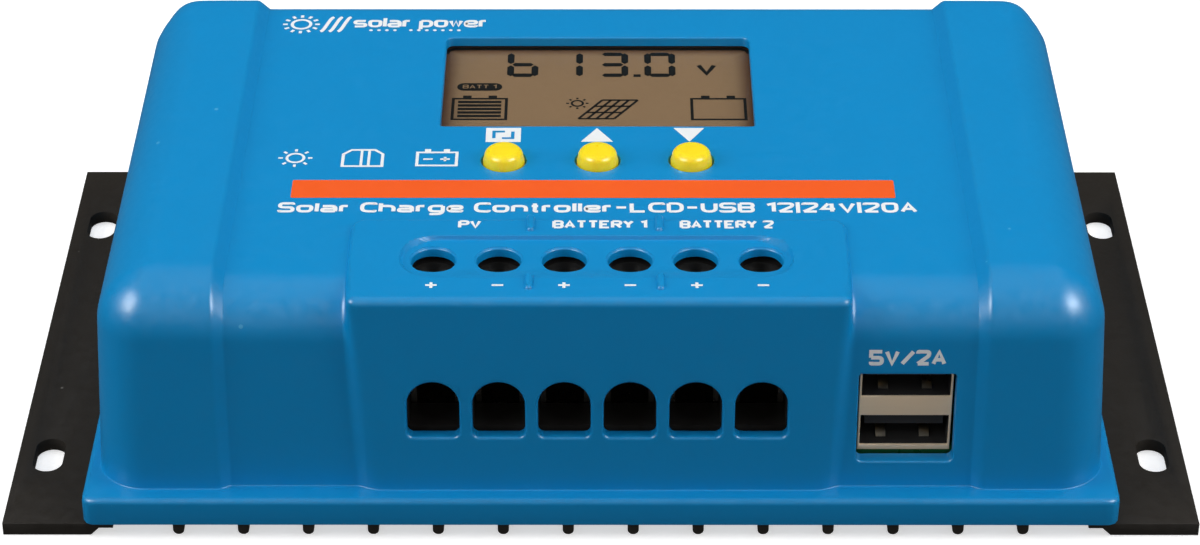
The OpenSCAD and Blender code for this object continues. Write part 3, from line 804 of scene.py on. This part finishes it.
def button_profile(low, high):
    """Cap with a collar under the panel, slightly conical, with a round shoulder."""
    collar_r = (high[0] - low[0]) / 2
    collar_low = low[2]
    collar_high = PANEL_TOP - WALL - 0.12
    foot_r, shoulder_r, top = 3.05, 2.86, high[2]
    edge = 1.15
    profile = [(collar_r - 0.1, collar_low), (collar_r, collar_low + 0.1), (collar_r, collar_high - 0.1),
               (collar_r - 0.1, collar_high), (foot_r, collar_high), (foot_r, PANEL_TOP)]
    for k in range(9):
        a = math.pi / 2 * k / 8
        profile.append((shoulder_r - edge * (1 - math.cos(a)), top - 0.12 - edge * (1 - math.sin(a))))
    dome = shoulder_r - edge
    for k in range(1, 6):
        profile.append((dome * (1 - k / 5) + 0.02, top - 0.12 * (1 - k / 5) ** 2))
    return profile


for name, (low, high) in zip(("menu", "up", "down"), button_boxes):
    centre = ((low[0] + high[0]) / 2, (low[1] + high[1]) / 2)
    cap = lathe(name + "_cap", button_profile(low, high), centre)
    dress(cap, "button_yellow", name + "_button")
    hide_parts(name + "_button")


# ---- printing on the casing, and the display's picture with a painted shadow ----

LAYER = 0.004                               # lift between strokes that cross each other


class Ink:
    """Flat printed shapes, collected as outlines in a plane and laid on a face as one piece."""

    def __init__(self):
        self.shapes = []
        self.layer = 0

    def polygon(self, points):
        self.shapes.append(([tuple(p) for p in points], self.layer))

    def bar(self, x, y, w, h, r=0.0):
        """Rectangle by its middle, with round corners of radius r."""
        if r <= 0:
            self.polygon([(x - w / 2, y - h / 2), (x + w / 2, y - h / 2), (x + w / 2, y + h / 2),
                          (x - w / 2, y + h / 2)])
        else:
            self.polygon([(x + u, y + v) for u, v in rounded_outline(w, h, r, r, 0, 5)])

    def disc(self, x, y, r, sides=28):
        turn = [2 * math.pi * k / sides for k in range(sides)]
        self.polygon([(x + r * math.cos(a), y + r * math.sin(a)) for a in turn])

    def line(self, points, width, closed=False):
        """A line of even width with mitred corners, as one strip of four-sided shapes."""
        pts = [np.array(p, float) for p in points]
        n = len(pts)
        sides = []
        for k, p in enumerate(pts):
            before = pts[k - 1] if closed or k > 0 else None
            after = pts[(k + 1) % n] if closed or k < n - 1 else None
            steps = [v / np.linalg.norm(v) for v in
                     ([] if before is None else [p - before]) + ([] if after is None else [after - p])]
            normals = [np.array([-v[1], v[0]]) for v in steps]
            mitre = sum(normals) / len(normals)
            offset = mitre / max(0.25, mitre @ mitre) * width / 2
            sides.append((p + offset, p - offset))
        for k in range(n if closed else n - 1):
            (a, b), (c, d) = sides[k], sides[(k + 1) % n]
            self.polygon([b, d, c, a])

    def ring(self, x, y, r, width, steps=24):
        turn = [math.radians(360 * k / steps) for k in range(steps)]
        self.line([(x + r * math.cos(a), y + r * math.sin(a)) for a in turn], width, closed=True)

    def sun(self, x, y, r, width, rays=8):
        """A ring with short rays."""
        self.ring(x, y, r * 0.5, width)
        for k in range(rays):
            a = 2 * math.pi * k / rays
            self.line([(x + r * s * math.cos(a), y + r * s * math.sin(a)) for s in (0.74, 1.0)], width)

    def place(self, name, slot, where, height=0.03):
        """Lays the shapes on a face: where(u, v, h) is the point at height h above it."""
        verts, faces = [], []
        for shape, layer in self.shapes:
            area = sum(a[0] * b[1] - b[0] * a[1] for a, b in zip(shape, shape[1:] + shape[:1]))
            if area < 0:
                shape = shape[::-1]
            faces.append(tuple(range(len(verts), len(verts) + len(shape))))
            verts += [where(u, v, height + LAYER * layer) for u, v in shape]
        return dress(mesh_object(name, verts, faces), slot, BODY)


def on_panel(u, v, h):
    return (u, v, PANEL_TOP + h)


def on_hump(u, v, h):
    return (u, v, HUMP_TOP + h)


def rounded_path(points, r, steps=6):
    """A path whose inner corners are rounded, as far as their sides allow."""
    pts = [np.array(p, float) for p in points]
    path = [pts[0]]
    for before, corner, after in zip(pts, pts[1:], pts[2:]):
        back, ahead = before - corner, after - corner
        reach = min(r, 0.5 * np.linalg.norm(back), 0.5 * np.linalg.norm(ahead))
        a = corner + back / np.linalg.norm(back) * reach
        b = corner + ahead / np.linalg.norm(ahead) * reach
        for t in np.linspace(0, 1, steps):
            point = (1 - t) ** 2 * a + 2 * t * (1 - t) * corner + t * t * b
            if np.linalg.norm(point - path[-1]) > 1e-6:
                path.append(point)
    if np.linalg.norm(pts[-1] - path[-1]) > 1e-6:
        path.append(pts[-1])
    return path


# Plain wide letters as pen strokes. Each stroke is a run of points, a column 0 to 4 and a row: 0 is
# the base line, 4 the height of small letters, 6 that of capitals, and a or b one or two rows under
# the base line. A stroke that starts with ~ has round corners.
STROKES = {
    "A": "00 26 40, 12 32", "B": "00 06, ~06 46 43 03, ~03 43 40 00", "C": "~45 46 06 00 40 41",
    "D": "00 06, ~06 46 40 00", "E": "46 06 00 40, 03 33", "L": "06 00 40", "P": "00 06, ~06 46 43 03",
    "R": "00 06, ~06 46 43 03, 23 40", "S": "~45 46 06 03 43 40 00 01", "T": "06 46, 26 20",
    "U": "~06 00 40 46", "V": "06 20 46", "Y": "06 23 46, 23 20",
    "a": "~04 44 40, ~42 02 00 40", "c": "~43 44 04 00 40 41", "e": "~02 42 44 04 00 40 41",
    "g": "~44 4b 0b, ~44 04 00 40", "h": "00 06, ~02 04 44 40", "l": "00 06", "n": "00 04, ~02 04 44 40",
    "o": "~24 44 40 00 04 24", "p": "0b 04, ~04 44 40 00", "r": "00 04, ~02 04 24",
    "s": "~44 04 02 42 40 00", "t": "~16 10 20, 04 24", "w": "04 10 24 30 44",
    "0": "~26 46 40 00 06 26", "1": "05 26 20", "2": "~05 06 46 44 00, 00 40", "4": "30 36, 26 02 42",
    "5": "46 06 03, ~03 43 40 00 01", "-": "03 33", "|": "0a 07", "/": "00 46", " ": "",
}
ROWS = "ba01234567"


def letter_strokes(letter):
    """Strokes of one letter as (round corners, points), and the letter's width in columns."""
    strokes = []
    for run in filter(None, STROKES[letter].split(", ")):
        points = [(int(p[0]), ROWS.index(p[1]) - 2) for p in run.lstrip("~").split()]
        strokes.append((run.startswith("~"), points))
    return strokes, max((x for _, points in strokes for x, _ in points), default=1)


def write(ink, text, box, weight, gap=1.75):
    """Generic words or figures, fitted to box = (x0, x1, base line, height of capitals)."""
    x0, x1, base, cap = box
    columns = sum(letter_strokes(letter)[1] + gap for letter in text) - gap
    wide = (x1 - x0 - weight) / columns
    tall = (cap - weight) / 6
    pen = x0 + weight / 2
    for letter in text:
        strokes, width = letter_strokes(letter)
        for layer, (round_corners, points) in enumerate(strokes):
            ink.layer = layer
            path = [(pen + x * wide, base + weight / 2 + y * tall) for x, y in points]
            ink.line(rounded_path(path, 0.36 * cap) if round_corners else path, weight)
        pen += (width + gap) * wide


def battery_sign(ink, x, y, w, h, line):
    """Battery outline with its two terminals on top."""
    ink.line([(x, y), (x + w, y), (x + w, y + h), (x, y + h)], line, closed=True)
    for share in (0.26, 0.74):
        ink.bar(x + w * share, y + h + line * 1.3, w * 0.16, line * 1.6)


# Back left corner: a plain sun and three wavy strokes
white = Ink()
white.sun(-47.0, 35.6, 2.9, 0.5, rays=12)
for k in range(3):
    start = -43.9 + 1.35 * k
    wave = [(start + 1.9 * t, 35.6 + 2.3 * math.sin(math.pi * (t - 0.5))) for t in np.linspace(0, 1, 12)]
    white.line(wave, 0.6)
for k in range(12):
    if k != 4:
        white.disc(-36.0 + 1.25 * k, 33.7, 0.3, 10)

# Three plain signs left of the buttons: a sun, a panel and a battery
white.sun(-44.9, -5.0, 2.5, 0.42)
white.line([(-37.9, -7.3), (-32.1, -7.3), (-32.1, -3.9), (-33.3, -2.7), (-36.7, -2.7), (-37.9, -3.9)],
           0.45, closed=True)
for x in (-35.2, -34.1):
    white.line([(x, -7.1), (x, -2.9)], 0.4)
battery_sign(white, -27.0, -7.1, 5.8, 3.7, 0.45)
white.bar(-25.4, -5.3, 1.4, 0.4)
white.bar(-22.9, -5.3, 1.4, 0.4)
white.bar(-22.9, -4.95, 0.4, 0.5)
white.bar(-22.9, -5.65, 0.4, 0.5)

# Signs over the three buttons
white.bar(-14.5, 1.65, 5.2, 4.1)
white.polygon([(-3.0, -0.3), (1.8, -0.3), (-0.6, 3.7)])
white.polygon([(10.8, 3.7), (13.1, -0.3), (15.4, 3.7)])
white.place("panel_printing", "print_white", on_panel)
menu_sign = Ink()
menu_sign.line([(-15.9, 0.7), (-15.9, 2.6), (-14.3, 2.6)], 0.5)
menu_sign.line([(-14.7, 0.7), (-13.1, 0.7), (-13.1, 2.6)], 0.5)
menu_sign.place("menu_sign", "casing_blue", on_panel, 0.05)

words = Ink()
write(words, "solar power", (-38.9, -17.8, 34.6, 3.3), 0.62)
write(words, "Solar Charge Controller-LCD-USB 12|24V|20A", (-46.4, 45.4, -20.1, 2.75), 0.6)
words.place("panel_words", "print_white", on_panel, 0.034)

# Ledge of the terminals: what goes to which pair, and the polarity signs
labels = Ink()
write(labels, "PV", (-20.3, -17.0, -25.3, 2.15), 0.48)
write(labels, "BATTERY 1", (-6.9, 6.6, -25.3, 2.15), 0.48)
write(labels, "BATTERY 2", (11.2, 24.6, -25.3, 2.15), 0.48)
labels.place("terminal_words", "print_white", on_hump)
signs = Ink()
for k, x in enumerate(POLE_XS):
    signs.bar(x, -40.0, 1.6, 0.42)
    if k % 2 == 0:
        signs.bar(x, -39.55, 0.42, 0.5)
        signs.bar(x, -40.45, 0.42, 0.5)
signs.place("polarity_signs", "print_white", on_hump)

stripe = Ink()
stripe.bar(-1.15, -13.65, 87.3, 4.9, 0.25)
stripe.place("orange_stripe", "print_orange", on_panel)

rating = Ink()
write(rating, "5V/2A", (37.3, 48.1, 26.1, 2.5), 0.58)
rating.place("usb_words", "print_white", lambda u, v, h: (u, wall_line(FRONT_MIDDLE, v) - h, v))


GLASS_TOP = glass_high[2]
SEGMENTS = {"0": "abcdef", "1": "bc", "3": "abcdg", "b": "cdefg"}


def segment_digit(ink, x, y, w, h, sign, t=1.05):
    """Seven-segment figure with its lower left corner at x, y."""
    m = y + h / 2
    gap = 0.22
    flat = {"a": y + h - t / 2, "g": m, "d": y + t / 2}
    upright = {"f": (x + t / 2, m, y + h), "b": (x + w - t / 2, m, y + h),
               "e": (x + t / 2, y, m), "c": (x + w - t / 2, y, m)}
    for s in SEGMENTS[sign]:
        if s in flat:
            v, x0, x1 = flat[s], x + t * 0.5 + gap, x + w - t * 0.5 - gap
            ink.polygon([(x0, v), (x0 + t * 0.4, v - t / 2), (x1 - t * 0.4, v - t / 2), (x1, v),
                         (x1 - t * 0.4, v + t / 2), (x0 + t * 0.4, v + t / 2)])
        else:
            u, y0, y1 = upright[s]
            y0, y1 = y0 + gap, y1 - gap
            ink.polygon([(u, y0), (u + t / 2, y0 + t * 0.5), (u + t / 2, y1 - t * 0.5), (u, y1),
                         (u - t / 2, y1 - t * 0.5), (u - t / 2, y0 + t * 0.5)])


picture = Ink()
digit_y, digit_h = 22.7, 7.6
for sign, x, w in (("b", -14.5, 4.8), ("1", -7.2, 4.4), ("3", -0.6, 4.8), ("0", 6.7, 4.8)):
    segment_digit(picture, x, digit_y, w, digit_h, sign)
picture.bar(5.55, digit_y + 0.4, 1.1, 0.8)
picture.line([(15.1, digit_y + 3.6), (16.3, digit_y + 1.0), (17.5, digit_y + 3.6)], 0.75)
picture.bar(-18.6, 19.6, 6.9, 2.3, 1.1)
battery_sign(picture, -22.5, 9.8, 8.1, 6.2, 0.45)
for k in range(5):
    picture.bar(-18.45, 10.8 + 1.05 * k, 6.6, 0.72)
battery_sign(picture, 13.8, 9.8, 8.1, 6.2, 0.45)
picture.sun(-3.6, 14.6, 1.7, 0.34)
slope = 3.6
for k in range(5):
    x = -3.4 + 1.35 * k
    picture.line([(x, 10.0), (x + slope, 15.6)], 0.4)
for k in range(4):
    v = 10.0 + 5.6 * k / 3
    shift = slope * k / 3
    picture.line([(-3.4 + shift, v), (2.0 + shift, v)], 0.4)
# Painted shadow: a dark strip of ink along the back edge of the display, where the bezel's shadow falls
# on the glass.
half_w = DISPLAY_W / 2
back_edge = DISPLAY_Y + DISPLAY_D / 2
rim = [(half_w + 0.1, 1.4), (half_w - 0.3, 0.45), (half_w - 1.2, 0.0)]
picture.line([(DISPLAY_X - u, back_edge - v) for u, v in rim]
             + [(DISPLAY_X + u, back_edge - v) for u, v in rim[::-1]], 0.7)
picture.place("lcd_picture_and_painted_shadow", "lcd_ink", lambda u, v, h: (u, v, GLASS_TOP + h))
state = Ink()
write(state, "BATT 1", (-21.2, -16.0, 19.05, 1.15), 0.2)
state.place("lcd_words", "lcd_film", lambda u, v, h: (u, v, GLASS_TOP + 0.03 + h))


# ---- camera, light and floor ----

def aim(obj, target):
    """Turns a light or camera towards a point."""
    direction = Vector(target) - obj.location
    obj.rotation_euler = direction.to_track_quat("-Z", "Y").to_euler()


camera = bpy.data.objects.new("camera", bpy.data.cameras.new("camera"))
bpy.context.scene.collection.objects.link(camera)
camera.location = (0.0002, -0.4365, 0.2968)
camera.rotation_euler = (math.radians(57), 0, math.radians(0.045))
camera.data.sensor_fit = "HORIZONTAL"
camera.data.sensor_width = 36
camera.data.lens = 102.8
camera.data.clip_start = 0.01
bpy.context.scene.camera = camera


def area_light(name, location, target, size, power):
    """A rectangular light of a size in metres and a power in watts, turned towards target."""
    data = bpy.data.lights.new(name, "AREA")
    data.shape = "RECTANGLE"
    data.size, data.size_y = size
    data.energy = power
    light = bpy.data.objects.new(name, data)
    light.location = location
    bpy.context.scene.collection.objects.link(light)
    aim(light, target)
    return light


def soft_light(*settings):
    """A light that shades but leaves no reflection of its own."""
    light = area_light(*settings)
    light.visible_glossy = False
    return light


def glint(*settings):
    """A light that is only seen in the gloss of the surfaces."""
    light = area_light(*settings)
    light.visible_diffuse = False
    return light


soft_light("overhead", (0.0, 0.22, 0.95), (0, 0, 0), (1.1, 0.8), 5.7)
soft_light("left", (-0.8, -0.12, 0.45), (0, 0, 0.02), (0.5, 0.5), 3.6)
soft_light("right", (0.8, -0.12, 0.45), (0, 0, 0.02), (0.5, 0.5), 3.4)
soft_light("front", (0.0, -1.0, 0.5), (0, 0, 0.02), (1.0, 0.4), 2.3)
glint("left_glint", (-0.62, -0.42, 0.62), (0, 0, 0.02), (0.42, 0.42), 12.0)
glint("right_glint", (0.62, -0.42, 0.62), (0, 0, 0.02), (0.42, 0.42), 11.0)
glint("top_glint", (0.0, -0.25, 1.0), (0, 0, 0.02), (1.3, 0.3), 0.7)

world = bpy.data.worlds.new("studio")
world.use_nodes = True
world.node_tree.nodes["Background"].inputs["Color"].default_value = (1, 1, 1, 1)
world.node_tree.nodes["Background"].inputs["Strength"].default_value = 0.09
bpy.context.scene.world = world
bpy.context.scene.view_settings.view_transform = "Standard"

floor_mesh = bpy.data.meshes.new("floor")
floor_size = 6.0
floor_mesh.from_pydata([(-floor_size, -floor_size, 0), (floor_size, -floor_size, 0),
                        (floor_size, floor_size, 0), (-floor_size, floor_size, 0)], [], [(0, 1, 2, 3)])
floor = bpy.data.objects.new("floor", floor_mesh)
floor.location.z = -0.1 * MM
floor_surface = Surface("floor_paint", (0.80, 0.80, 0.80, 1), 0.9, mottle=0.004, relief=0.001,
                        specular=0.1)
floor_surface.shader.inputs["Emission Color"].default_value = (1, 1, 1, 1)
floor_surface.shader.inputs["Emission Strength"].default_value = 0.55
floor.data.materials.append(floor_surface.material)
floor.visible_diffuse = False
floor.visible_glossy = False
bpy.context.scene.collection.objects.link(floor)

bpy.context.view_layer.update()
